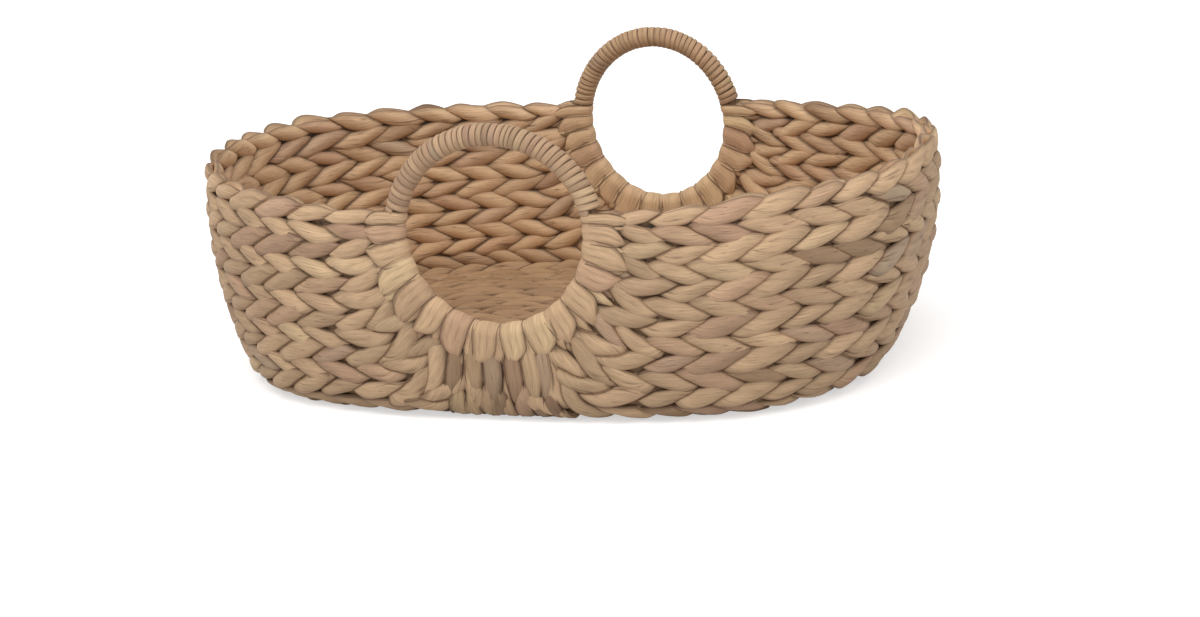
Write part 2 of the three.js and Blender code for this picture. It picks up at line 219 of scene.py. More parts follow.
class Wall:
    """Places on the middle surface of the wall and the base."""

    def __init__(self, form):
        self.form = form
        self.half_wall = form.wall_thickness / 2
        self.middle_radius = form.foot_radius - self.half_wall
        self.across = self.profile(
            form.body_depth / 2, form.wall_height, form.side_lean_top, form.side_lean_foot
        )
        self.along = self.profile(
            form.body_length / 2, form.end_height, form.end_lean_top, form.end_lean_foot
        )
        self.foot_start = self.across["wall"]
        self.foot_end = self.foot_start + self.across["foot"]
        self.probe = form.wall_thickness / 32
        self.walk_quarter()
        self.handle_radius = form.handle_thickness / 2
        self.handle_drop = form.wall_height - form.handle_centre
        self.hoop_half = form.hole_height / 2 + self.handle_radius
        self.rim_angle = math.asin(self.handle_drop / self.hoop_half)
        self.handles = {
            "front": Handle(-1, form.front_shift, form.front_hole / 2 + self.handle_radius),
            "back": Handle(1, form.back_shift, form.back_hole / 2 + self.handle_radius),
        }

    def profile(self, half_span, top, lean_top, lean_foot):
        """An arc down the wall, an arc round the foot, then flat."""
        swing = lean_foot - lean_top
        foot_drop = self.middle_radius * (1 - math.sin(lean_foot))
        wall_drop = top - self.half_wall - foot_drop
        wall = wall_drop * swing / (math.sin(lean_foot) - math.sin(lean_top))
        bend = wall / swing
        widest = half_span - self.half_wall
        return {
            "wall": wall,
            "foot": self.middle_radius * (math.pi / 2 - lean_foot),
            "bend": bend,
            "from": lean_top,
            "to": lean_foot,
            "top": top,
            "widest": widest,
            "foot_top": widest - bend * (1 - math.cos(lean_foot)),
        }

    def on_profile(self, shape, wall_share, foot_share, inward):
        """Half the span and the height, at a place down a profile."""
        start, end, bend = shape["from"], shape["to"], shape["bend"]
        lean = start + (end - start) * np.clip(wall_share, 0, 1)
        span = shape["widest"] - bend * (1 - np.cos(lean))
        height = shape["top"] - bend * (np.sin(lean) - math.sin(start))
        above = np.maximum(0, -wall_share) * shape["wall"]
        span = span + above * math.sin(start)
        height = height + above * math.cos(start)
        foot_lean = end + (math.pi / 2 - end) * foot_share
        inset = self.middle_radius * (math.cos(end) - np.cos(foot_lean)) + inward
        on_foot = foot_share > 0
        foot_height = self.half_wall + self.middle_radius * (1 - np.sin(foot_lean))
        return (
            np.where(on_foot, shape["foot_top"] - inset, span),
            np.where(on_foot, foot_height, height),
        )

    def walk_quarter(self):
        """A table of the way walked along a quarter of the rim."""
        half_length = self.on_profile(self.along, np.zeros(1), np.zeros(1), 0)[0][0]
        half_depth = self.on_profile(self.across, np.zeros(1), np.zeros(1), 0)[0][0]
        self.shares = np.sin(np.pi / 2 * np.arange(RIM_STEPS + 1) / RIM_STEPS)
        depth = self.oval_depth(self.shares, self.form.rim_power)
        steps = np.hypot(np.diff(half_length * self.shares), np.diff(half_depth * depth))
        self.walked = np.concatenate([[0], np.cumsum(steps)])
        self.quarter = self.walked[-1]

    @staticmethod
    def oval_depth(length_share, power):
        rest = np.maximum(0, 1 - np.abs(length_share) ** power)
        return rest ** (1 / power)

    def point(self, way, down, side):
        """way runs along X from the middle of a long wall, down from the rim; side is -1 or 1."""
        wall_share = np.minimum(1, down / self.foot_start)
        foot_share = np.clip((down - self.foot_start) / (self.foot_end - self.foot_start), 0, 1)
        inward = np.maximum(0, down - self.foot_end)
        along = self.on_profile(self.along, wall_share, foot_share, inward)
        across = self.on_profile(self.across, wall_share, foot_share, inward)
        distance = np.minimum(np.abs(way), self.quarter)
        part = np.sign(way) * np.interp(distance, self.walked, self.shares)
        power = lerp(self.form.rim_power, self.form.foot_power, np.clip(wall_share, 0, 1))
        depth = side * across[0] * self.oval_depth(part, power)
        return np.stack([along[0] * part, depth, lerp(across[1], along[1], part ** 2)], -1)

    def normal(self, way, down, side):
        """The outward direction of the wall."""
        reach = self.quarter - self.probe
        middle = np.clip(way, -reach, reach)
        probe = self.probe
        along = self.point(middle + probe, down, side) - self.point(middle - probe, down, side)
        lower = self.point(middle, down + probe, side) - self.point(middle, down - probe, side)
        return unit(np.cross(along, lower)) * np.asarray(side, float)[..., None]

    def hoop_place(self, handle, angle, around, radius):
        """A place round a hoop, and the direction from the hoop's middle line to it."""
        def flat(grow):
            return (
                handle.shift + (handle.half_width + grow) * np.cos(angle),
                self.handle_drop - (self.hoop_half + grow) * np.sin(angle),
            )

        centre = self.point(*flat(0.0), handle.side)
        normal = self.normal(*flat(0.0), handle.side)
        inner = self.point(*flat(-self.probe), handle.side) - centre
        inner = unit(inner - normal * dot(inner, normal))
        away = normal * np.cos(around)[..., None] + inner * np.sin(around)[..., None]
        return centre + away * np.broadcast_to(radius, angle.shape)[..., None], away

    def start_angle(self, row):
        """Where on the hoop a row starts."""
        return lerp(self.rim_angle, -math.pi / 2, row ** self.form.crowding)


# Where a handle's hoop lies on the wall
Handle = namedtuple("Handle", "side shift half_width")


class RowLine:
    """The line of a row: a bend away from its hoop, then level to the end of the basket."""

    def __init__(self, wall, row, handle, half):
        form = wall.form
        angle = wall.start_angle(row)
        heading = math.pi / 2 * row ** form.crowding
        self.handle, self.half = handle, half
        start = np.array([
            handle.half_width * math.cos(angle), wall.handle_drop - wall.hoop_half * math.sin(angle)
        ])
        reach = lerp(form.rim_reach, form.low_reach, row ** REACH_POWER)
        level = np.array([start[0] + reach, row * form.woven_depth])
        lead = lerp(RIM_LEAD, LOW_LEAD, row ** LEAD_POWER) * np.linalg.norm(level - start)
        leave = start + lead * np.array([math.cos(heading), math.sin(heading)])
        arrive = level - np.array([TAIL * reach, 0.0])
        at = np.linspace(0, 1, BEND_STEPS + 1)[:, None]
        rest = 1 - at
        self.bend = (
            rest ** 3 * start + 3 * at * rest ** 2 * leave + 3 * at ** 2 * rest * arrive
            + at ** 3 * level
        )
        self.bend_gone = walked_along(self.bend)
        self.level_from = self.bend_gone[-1]
        self.centred = self.level_from + wall.quarter - level[0]
        self.total = self.centred - half * handle.shift

    def gone_at(self, part):
        """The way from the hoop, where a share of the row is passed."""
        return part * self.centred - part * part * self.half * self.handle.shift

    def part_at(self, gone):
        """The share of the row that is passed at a way from the hoop."""
        part = gone / self.centred
        for _ in range(8):
            part = gone / (self.centred - self.half * self.handle.shift * part)
        return part

    def places(self, gone):
        """way and down at a distance gone from the hoop."""
        way = np.interp(gone, self.bend_gone, self.bend[:, 0])
        way = way + np.maximum(0, gone - self.level_from)
        down = np.interp(gone, self.bend_gone, self.bend[:, 1])
        return self.handle.shift + self.half * way, down


def facing(points, outward, half, closed=False):
    """Unit directions at each point: along the line, outwards, and across towards the rim."""
    if closed:
        ahead = np.roll(points, -1, 0) - np.roll(points, 1, 0)
    else:
        ahead = np.gradient(points, axis=0)
    ahead = unit(ahead)
    outward = unit(outward - ahead * dot(outward, ahead))
    return {"ahead": ahead, "outward": outward, "across": np.cross(outward, ahead) * half}


def walked_along(points):
    """The way walked at each point of a line."""
    steps = np.linalg.norm(np.diff(points, axis=0), axis=1)
    return np.concatenate([[0], np.cumsum(steps)])


class Leaves:
    """Collects the lines that leaves follow, with what the trees need to know at each point."""

    def __init__(self, seed):
        self.random = np.random.default_rng(seed)
        self.parts = []
        self.lane = 0

    def add(self, points, closed=False, **values):
        """Adds a line, with values for each of its points or one for them all."""
        self.lane += 1
        walked = walked_along(points)
        seam = np.linalg.norm(points[-1] - points[0]) if closed else 0.0
        loop = (walked[-1] + seam) * closed
        part = {"points": points, "closed": closed}
        for name, value in {"lane": self.lane, "walked": walked, "loop": loop, **values}.items():
            value = np.asarray(value, float)
            part[name] = np.full(len(points), value) if value.ndim == 0 else value
        self.parts.append(part)

    def guide(self, name):
        """One mesh of lines, with the values as attributes of its points."""
        starts = np.cumsum([0] + [len(part["points"]) for part in self.parts])
        edges = []
        for part, start in zip(self.parts, starts):
            count = len(part["points"])
            index = np.arange(count - 1)
            edges.append(np.stack([index, index + 1], 1) + start)
            if part["closed"]:
                edges.append(np.array([[count - 1, 0]]) + start)
        mesh = bpy.data.meshes.new(name)
        points = np.concatenate([part["points"] for part in self.parts])
        lines = np.concatenate(edges)
        mesh.vertices.add(len(points))
        mesh.vertices.foreach_set("co", points.astype(np.float32).ravel())
        mesh.edges.add(len(lines))
        mesh.edges.foreach_set("vertices", lines.astype(np.int32).ravel())
        for key in self.parts[0]:
            if key in ("points", "closed"):
                continue
            data = np.concatenate([part[key] for part in self.parts]).astype(np.float32)
            kind, field = ("FLOAT", "value") if data.ndim == 1 else ("FLOAT_VECTOR", "vector")
            attribute = mesh.attributes.new(key, kind, "POINT")
            attribute.data.foreach_set(field, data.ravel())
        mesh.update()
        return mesh


# Over how many stretches the colours of a strand drift, and how often one is dark
SHADE_SPAN = 5.0
KIND_SPAN = 4.0
DARK_CHANCE = 0.03
DARKNESS = 0.6


def leaf_tints(random, lobes, count_from):
    """Colours along one strand: each stretch between two stakes has its own, softly joined."""
    count = int(math.ceil(lobes.max() - lobes.min())) + 4
    whole = int(count / SHADE_SPAN) + 3
    shade = np.interp(np.arange(count) / SHADE_SPAN, np.arange(whole), random.normal(0, 1, whole))
    shade = 0.45 * shade + random.normal(0, 0.75, count)
    kinds = random.random(whole + 1)
    kind = np.interp(np.arange(count) / KIND_SPAN, np.arange(whole + 1), kinds)
    kind = np.clip(0.35 * kind + 0.65 * random.random(count), 0, 1)
    dark = DARKNESS * (random.random(count) < DARK_CHANCE)
    place = lobes - count_from + 1.0
    low = np.floor(place).astype(int)
    part = smooth(place - low, 0.3, 0.7)
    low = np.clip(low, 0, count - 2)
    return [lerp(values[low], values[low + 1], part) for values in (shade, kind, dark)]


def walk_row(wall, weave, row, half, step):
    """A row from the front hoop to the back hoop, point by point.

    Gives the places, the directions outwards, the stakes passed, the room between the rows
    beside it, and the way from the nearer hoop.
    """
    pitch = weave.stake_pitch
    legs = []
    for name, handle in wall.handles.items():
        line = RowLine(wall, row, handle, half)
        beside = [RowLine(wall, row + side / ROWS / 2, handle, half) for side in (-1, 1)]
        gone = np.linspace(ROW_START, line.total, int((line.total - ROW_START) / step))
        way, down = line.places(gone)
        place = wall.point(way, down, handle.side)
        ahead = unit(np.gradient(place, axis=0))
        part = line.part_at(gone)
        above, below = (
            wall.point(*other.places(other.gone_at(part)), handle.side) for other in beside
        )
        apart = above - below
        room = np.linalg.norm(apart - ahead * dot(apart, ahead), axis=-1)
        lack = line.total / pitch - round(line.total / pitch)
        stakes = -(line.total - gone) / pitch + lack * (1 - smooth(gone, 0, 2.5 * pitch))
        leg = [place, wall.normal(way, down, handle.side), stakes, room, gone]
        if name == "back":
            leg[2] = -stakes
            leg = [values[::-1][1:] for values in leg]
        legs.append(leg)
    return [np.concatenate(values) for values in zip(*legs)]


# How far stakes stand off their places, as a share of the pitch: each one, and a whole row
STAKE_DRIFT = 0.08
ROW_DRIFT = 0.12

# The size of a leaf against the usual one: where the rows crowd or part, and at a hoop
LEAST_GIRTH = 0.62
MOST_GIRTH = 1.5
HOOP_DEPTH = 0.72
HOOP_REACH = 0.05
RIM_REACH = 0.04
# Painted light on the rim row: how much paler its leaves are, as the light from above falls on them
RIM_PAINTED_LIGHT = 1.3


def twined_row(leaves, wall, weave, row, half, hand):
    """The two strands of one row of the wall."""
    points, outs, stakes, room, gone = walk_row(wall, weave, row, half, weave.ring_step)
    at_rim = row < 1 / ROWS
    whole = np.arange(math.floor(stakes.min()), math.ceil(stakes.max()) + 1)
    drift = leaves.random.normal(0, STAKE_DRIFT, len(whole))
    drift = drift + leaves.random.uniform(-ROW_DRIFT, ROW_DRIFT)
    stakes = stakes + np.interp(stakes, whole, drift)
    usual_room = wall.form.woven_depth / ROWS
    girth = np.clip(room / usual_room, LEAST_GIRTH, MOST_GIRTH)
    if at_rim:
        girth = girth * lerp(1.0, weave.rim_girth, smooth(gone, 0.0, RIM_REACH))
    directions = facing(points, outs, half)
    for strand in (0, 1):
        lobes = stakes + strand
        shade, kind, dark = leaf_tints(leaves.random, lobes, math.floor(lobes.min()))
        # The rim row gets painted light: paler leaves
        leaves.add(
            points, **directions, phase=np.pi * lobes, hand=hand, girth=girth,
            depth_girth=lerp(HOOP_DEPTH, 1.0, smooth(gone, 0.0, HOOP_REACH)),
            shade=shade + RIM_PAINTED_LIGHT * at_rim, kind=kind, dark=dark,
        )


def core_shade_strips(cores, wall, weave, row, half):
    """The middle of the wall between two rows: painted shade, dark, and open here and there."""
    points, outs, stakes, room, _ = walk_row(wall, weave, row, half, weave.core_step)
    directions = facing(points, outs, half)
    first = math.floor(stakes.min())
    open_at = cores.random.random(math.ceil(stakes.max()) - first + 1) < OPEN_CHANCE
    column = np.floor(stakes).astype(int) - first
    shut = ~(open_at[column] & (np.abs(stakes - np.floor(stakes) - 0.5) < OPEN_REACH))
    edges = np.flatnonzero(np.diff(np.concatenate([[0], shut, [0]])))
    for start, end in edges.reshape(-1, 2):
        if end - start > 3:
            run = slice(start, end)
            cores.add(
                points[run], **{name: values[run] for name, values in directions.items()},
                half_width=room[run] * OVERLAP, **CORE_PAINTED_SHADE,
            )


def ring_line(wall, down, step):
    """A closed line round the base, the share gone at each point, its length and directions."""
    ways = np.linspace(-wall.quarter, wall.quarter, RING_STEPS + 1)[:-1]
    front = wall.point(ways, np.full(ways.shape, down), -1)
    back = wall.point(-ways, np.full(ways.shape, down), 1)
    loop = np.concatenate([front, back, front[:1]])
    walked = walked_along(loop)
    around = walked[-1]
    count = int(around / step)
    at = np.arange(count) / count * around
    points = np.stack([np.interp(at, walked, loop[:, k]) for k in range(3)], 1)
    outs = np.tile([0.0, 0.0, -1.0], (count, 1))
    return points, at / around, around, facing(points, outs, 1, closed=True)


def core_shade_ring(cores, wall, weave, down, spacing):
    """The middle of the base between two of its rows: a strip of painted shade."""
    points, _, _, directions = ring_line(wall, down, weave.core_step)
    cores.add(points, closed=True, **directions, half_width=spacing * OVERLAP, **CORE_PAINTED_SHADE)


def twined_ring(leaves, wall, weave, down, hand):
    """The two strands of one closed row of the base."""
    points, gone, around, directions = ring_line(wall, down, weave.base_step)
    stakes = 2 * max(2, round(around / weave.stake_pitch / 2))
    lobes = gone * stakes
    seam = smooth(lobes, 0.3, 0.7)
    for strand in (0, 1):
        shade, kind, dark = leaf_tints(leaves.random, lobes + strand, 0)
        leaves.add(
            points, closed=True, **directions, phase=np.pi * (lobes + strand), hand=hand,
            girth=1.0, depth_girth=weave.base_girth, shade=shade * seam,
            kind=lerp(0.5, kind, seam), dark=dark * seam,
        )


# A folded leaf: how far round it may stand from its place, as a share of the way to the next,
# how deep it folds under the handle's size, and how its tips sink and narrow
FOLD_DRIFT = 0.08
FOLD_SUNK = 0.0012
TIP_SUNK = 0.0040
INNER_TIP = 0.9
TIP_FROM = 0.32
TIP_SPAN = 0.68
TIP_LEAST = 0.07
TIP_POWER = 2.2
FOLD_THICK = 0.0013
FOLD_CROWN = 0.0012


def folded_leaf(leaves, wall, handle, half, row, width, reach, lift, slant):
    """A leaf folded round a hoop, with a blunt tip on the outside and one on the inside."""
    line = RowLine(wall, row, handle, half)
    angle = wall.start_angle(row)
    if half < 0:
        angle = math.pi - angle
    fold = wall.handle_radius - FOLD_SUNK + lift
    parts = []
    for face, tip in ((-1, reach * INNER_TIP), (1, reach)):
        gone = tip * np.sin(np.linspace(0, math.pi / 2, TIP_STEPS + 1)[1:])[::face]
        way, down = line.places(gone)
        normal = wall.normal(way, down, handle.side) * face
        sunk = smooth(gone / tip, 0.66, 1.05) * TIP_SUNK
        out = fold - sunk - 0.0004 * smooth(gone, 0.0, 0.02)
        place = wall.point(way, down, handle.side) + normal * out[:, None]
        parts.append((place, normal, gone / tip, np.full(TIP_STEPS, float(face < 0))))
        if face < 0:
            around = np.linspace(math.pi, 0, FOLD_STEPS)
            place, away = wall.hoop_place(handle, np.full(FOLD_STEPS, angle), around, fold)
            inner = smooth(around, math.pi / 2, math.pi)
            parts.append((place, away, np.zeros(FOLD_STEPS), inner))
    points, outs, gone, inner = (np.concatenate(values) for values in zip(*parts))
    directions = facing(points, outs, half)
    spread = lerp(lerp(0.94, 0.98, row), lerp(1.04, 0.90, row), smooth(gone, 0.0, 0.6))
    past = np.maximum(0, gone - TIP_FROM) / TIP_SPAN
    blunt = np.maximum(TIP_LEAST, 1 - past ** TIP_POWER)
    points = points + directions["across"] * (slant * width * (1 - blunt))[:, None]
    # The tips get painted shade where they sink under other leaves (end)
    leaves.add(
        points, **directions, half_width=width * spread * blunt,
        half_thick=FOLD_THICK * lerp(0.4, 1.0, blunt), crown=FOLD_CROWN * blunt,
        shade=leaves.random.normal(0.9, 0.6), kind=leaves.random.random() * 0.8, dark=0.0,
        inner=inner, end=0.6 * smooth(gone, 0.86, 1.0), tilt=leaves.random.uniform(0.03, 0.12),
    )


# The leaves at the foot: face of the wall, tier from the top, how many stand side by side
FOOT_TIERS = ((1, 1, 7), (1, 0, 6), (-1, 1, 5), (-1, 0, 4))
FOOT_OUT = 0.0052
FOOT_THICK = 0.0024
FOOT_CROWN = 0.0020
ENDS_SUNK = 0.0050


def foot_leaves(leaves, wall, weave, handle):
    """Two tiers of short upright leaves at the foot under a hoop, on both faces of the wall."""
    chance = leaves.random
    top = wall.handle_drop + wall.hoop_half
    tier = (wall.form.woven_depth + 0.004 - top) / 2
    gone = np.linspace(0, 1, FOOT_STEPS)
    off_middle = np.abs(2 * gone - 1)
    ends = np.maximum(0.08, 1 - off_middle ** 2.2) ** 0.8
    for face, level, count in FOOT_TIERS:
        for number in range(count):
            place = number - (count - 1) / 2 + chance.uniform(-0.12, 0.12)
            start = top + tier * (level - 0.12) + chance.uniform(-0.002, 0.002)
            start += (0.0012 - 0.004 * level) * place ** 2 * 0.3
            down = start + tier * chance.uniform(1.15, 1.35) * gone
            width = weave.foot_pitch * 0.58 * chance.uniform(0.85, 1.12)
            lean = chance.uniform(0.0, 0.004) * chance.choice((-1, 1))
            way = handle.shift + place * weave.foot_pitch * (1 + 0.35 * gone) + lean * gone
            way = way + chance.choice((-1, 1)) * 0.8 * width * (1 - ends) * (gone > 0.5)
            normal = wall.normal(way, down, handle.side) * face
            lift = FOOT_OUT + 0.0005 * (1 - level) - ENDS_SUNK * off_middle ** 3
            points = wall.point(way, down, handle.side) + normal * lift[:, None]
            # Painted shade: each leaf darker all over (shade), and darker at its sunk ends (end)
            leaves.add(
                points, **facing(points, normal, 1), half_width=width * ends,
                half_thick=FOOT_THICK * (0.4 + 0.6 * ends), crown=FOOT_CROWN * ends,
                shade=chance.normal(-2.4, 1.4), kind=chance.random(), dark=0.0,
                inner=float(face < 0), end=0.8 * smooth(off_middle, 0.84, 1.0),
                tilt=chance.uniform(0.05, 0.18) * chance.choice((-1, 1)),
            )


# The winding: what is free at its ends, how its turns vary, how deep its middle line lies
WINDING_END = 0.001
PACE_SPREAD = 0.16
WINDING_SUNK = 0.0019
WINDING_THICK = 0.0021
TURN_OVERLAP = 1.04


def wound_leaf(leaves, wall, handle, loops):
    """The leaf wound round the upper part of a hoop."""
    trim = WINDING_END / wall.hoop_half
    start, end = wall.rim_angle + trim, math.pi - wall.rim_angle - trim
    turns = np.arange(loops * LOOP_STEPS + 1) / LOOP_STEPS
    spread = leaves.random.normal(0, 1, loops + 1)
    pace = 1 + PACE_SPREAD * np.interp(turns, np.arange(loops + 1), spread)
    pace = np.clip(pace, 0.6, 1.5)
    gone = np.concatenate([[0], np.cumsum((pace[1:] + pace[:-1]) / 2)])
    gone = gone / gone[-1]
    pitch = (end - start) / loops
    angle = start + pitch * 0.1 + (end - start - pitch * 0.2) * gone
    pace = pace / pace.mean()
    radius = wall.handle_radius - WINDING_SUNK
    points, away = wall.hoop_place(handle, angle, 2 * np.pi * turns, radius)
    width = pitch * (wall.hoop_half + handle.half_width) / 4 * TURN_OVERLAP * pace
    shades, kinds, tilts, girths = leaves.random.normal(0, 1, (4, loops + 2))
    shade, kind, tilt, girth = (
        np.interp(turns, np.arange(loops + 2), values)
        for values in (0.8 * shades, np.clip(0.5 + 0.3 * kinds, 0, 1), 0.05 * tilts, girths)
    )
    leaves.add(
        points, **facing(points, away, 1), half_width=width,
        half_thick=WINDING_THICK + 0.0001 * np.clip(girth, -2, 1), crown=0.0, shade=shade,
        kind=kind, dark=0.0, inner=0.0, tilt=tilt,
    )


# Rows of the noise that moves, widens, thickens, lifts and tilts a leaf, with how much
SWINGS = (7.9, 0.0013)
WIDENS = (17.3, 0.20)
THICKENS = (23.9, 0.13)
LIFTS = (12.1, 0.0006)
TILTS = (3.3, 0.11)
TWINED_SAG = 0.0008

# Creases: how often they come along a leaf, across it and from leaf to leaf, and their width
CREASES = (11.0, 230.0, 7.7)
CREASE_WIDTH = 0.22

# Half the width that the fibres and creases take every leaf to have
FIBRE_REACH = 0.0085


class Value:
    """What a node gives. A sign of arithmetic on it adds the node that works it out."""

    def __init__(self, maker, socket):
        self.maker = maker
        self.socket = socket
        self.is_vector = socket.type == "VECTOR"

    def __add__(self, other):
        if self.is_vector:
            return self.maker.node("ShaderNodeVectorMath", {0: self, 1: other}, operation="ADD")
        return self.maker.maths("ADD", self, other)

    def __mul__(self, other):
        if self.is_vector:
            return self.maker.node(
                "ShaderNodeVectorMath", {"Vector": self, "Scale": other}, operation="SCALE"
            )
        return self.maker.maths("MULTIPLY", self, other)

    def __sub__(self, other):
        return self.maker.maths("SUBTRACT", self, other)

    def __rsub__(self, other):
        return self.maker.maths("SUBTRACT", other, self)

    def __truediv__(self, other):
        return self.maker.maths("DIVIDE", self, other)

    def __pow__(self, other):
        return self.maker.maths("POWER", self, other)

    def __neg__(self):
        return self * -1.0

    def __abs__(self):
        return self.maker.maths("ABSOLUTE", self)


class NodeMaker:
    """Adds nodes to a tree. Their inputs take what other nodes give, or plain values."""

    def __init__(self, tree):
        self.tree = tree

    def give(self, socket, value):
        if isinstance(value, Value):
            self.tree.links.new(value.socket, socket)
        else:
            socket.default_value = value

    def node(self, kind, feed=None, out=0, **settings):
        node = self.tree.nodes.new(kind)
        for key, value in settings.items():
            setattr(node, key, value)
        for key, value in (feed or {}).items():
            self.give(node.inputs[key], value)
        return Value(self, node.outputs[out])

    def maths(self, operation, *values):
        return self.node("ShaderNodeMath", dict(enumerate(values)), operation=operation)


# Where a section of a leaf lies: its middle, and its directions across and out
PLACES = ("centre", "flat", "radial")

# The kinds of what isn't a plain number, by name where it is read, by socket where it is stored
READ_KINDS = {
    "strand": "INT", **dict.fromkeys(("ahead", "outward", "across", *PLACES), "FLOAT_VECTOR")
}
STORE_KINDS = {"INT": "INT", "VECTOR": "FLOAT_VECTOR", "VALUE": "FLOAT"}

# The sizes that the twining has inputs for
TWINING = (
    "twist_width", "twist_depth", "leaf_width", "leaf_thickness", "crossing", "slant", "dwell",
    "unevenness",
)


def label(size):
    """The name of the input for a size."""
    return size.replace("_", " ").title()


class LeafTree(NodeMaker):
    """Builds a Geometry Nodes tree that lays leaves along lines."""

    def __init__(self, name):
        super().__init__(bpy.data.node_groups.new(name, "GeometryNodeTree"))
        self.entry = self.tree.nodes.new("NodeGroupInput")
        self.exit = self.tree.nodes.new("NodeGroupOutput")
        self.lines = self.socket("Lines", "NodeSocketGeometry")
        self.seed = self.socket("Seed", value=7.0)
        self.tree.interface.new_socket(
            "Leaves", in_out="OUTPUT", socket_type="NodeSocketGeometry"
        )

    def socket(self, name, kind="NodeSocketFloat", value=None):
        item = self.tree.interface.new_socket(name, in_out="INPUT", socket_type=kind)
        if value is not None:
            item.default_value = value
        return Value(self, self.entry.outputs[name])

    def vector(self, x, y, z):
        return self.node("ShaderNodeCombineXYZ", {"X": x, "Y": y, "Z": z})

    def read(self, name):
        kind = READ_KINDS.get(name, "FLOAT")
        return self.node("GeometryNodeInputNamedAttribute", {"Name": name}, data_type=kind)

    def store(self, geometry, domain="POINT", **values):
        """Keeps each value on the geometry under its name."""
        for name, value in values.items():
            kind = STORE_KINDS[value.socket.type] if isinstance(value, Value) else "FLOAT"
            geometry = self.node(
                "GeometryNodeStoreNamedAttribute",
                {"Geometry": geometry, "Name": name, "Value": value},
                data_type=kind, domain=domain,
            )
        return geometry

    def noise(self, vector, detail=0.0):
        """Smooth noise from about -1 to 1."""
        raw = self.node(
            "ShaderNodeTexNoise",
            {"Vector": vector, "W": self.seed, "Scale": 1.0, "Detail": detail},
            noise_dimensions="4D",
        )
        return raw * 4.0 - 2.0


def twist(tree, lines):
    """Swings each strand across its row, and passes it from outside to inside and back.

    The sections of a strand lie on a slant, with the hand of the row, so the stretches that show
    begin and end on a slant too. A section's places are read off the strand's line.
    """
    width, depth, leaf_width, thickness, crossing, slant, dwell, uneven = (
        tree.socket(label(size)) for size in TWINING
    )
    phase, hand, girth, depth_girth, across, ahead = (
        tree.read(name)
        for name in ("phase", "hand", "girth", "depth_girth", "across", "ahead")
    )
    lane = tree.read("lane") * 3.71

    def uneven_by(row, size):
        return tree.noise(tree.vector(phase * 0.23, lane, row)) * uneven * size

    swing = tree.maths("SINE", phase * 2.0) - tree.maths("SINE", phase * 4.0) * 0.2
    swing = swing * hand * girth * width + uneven_by(*SWINGS)
    cosine = tree.maths("COSINE", phase)
    size = abs(cosine)
    narrow = size * (1.0 - crossing) + crossing
    out = size ** dwell * tree.maths("SIGN", cosine) * depth_girth * depth
    along = tree.node(
        "ShaderNodeVectorMath", {0: tree.node("GeometryNodeInputTangent"), 1: ahead},
        out=1, operation="DOT_PRODUCT",
    )
    lines = tree.store(
        lines,
        centre=tree.node("GeometryNodeInputPosition") + across * swing,
        flat=across,
        radial=tree.read("outward"),
        wide=leaf_width * girth * narrow * (uneven_by(*WIDENS) + 1.0),
        thick=thickness * depth_girth * (uneven_by(*THICKENS) + 1.0),
        inner=-cosine,
        out=out + uneven_by(*LIFTS),
        tilt=uneven_by(*TILTS),
        # end: where the leaf turns edge-on to pass inside, which gets painted shade
        end=tree.maths("MAXIMUM", 1.0 - size * 6.0, 0.0),
        lean=tree.maths("SIGN", along) * hand * slant,
        along=tree.node("GeometryNodeSplineParameter", out=1),
        sag=TWINED_SAG,
    )
    lines = tree.store(lines, "CURVE", strand=tree.node("GeometryNodeInputIndex"))

    def places(over):
        """Where a place across the leaf lies: on the line, a little later or earlier."""
        strand, loop = tree.read("strand"), tree.read("loop")
        gone = tree.read("along") + over * tree.read("lean")
        gone = gone - tree.maths("FLOOR", gone / loop) * loop
        return [
            tree.node(
                "GeometryNodeSampleCurve",
                {"Curves": lines, "Value": tree.read(name), "Length": gone, "Curve Index": strand},
                data_type="FLOAT_VECTOR", mode="LENGTH",
            )
            for name in PLACES
        ]

    return lines, places


def lay_flat(tree, lines):
    """Lays a leaf where its line is."""
    lines = tree.store(
        lines, centre=tree.node("GeometryNodeInputPosition"), flat=tree.read("across"),
        radial=tree.read("outward"), wide=tree.read("half_width"),
        thick=tree.read("half_thick"), sag=tree.read("crown"),
    )
    return lines, lambda over: [tree.read(name) for name in PLACES]


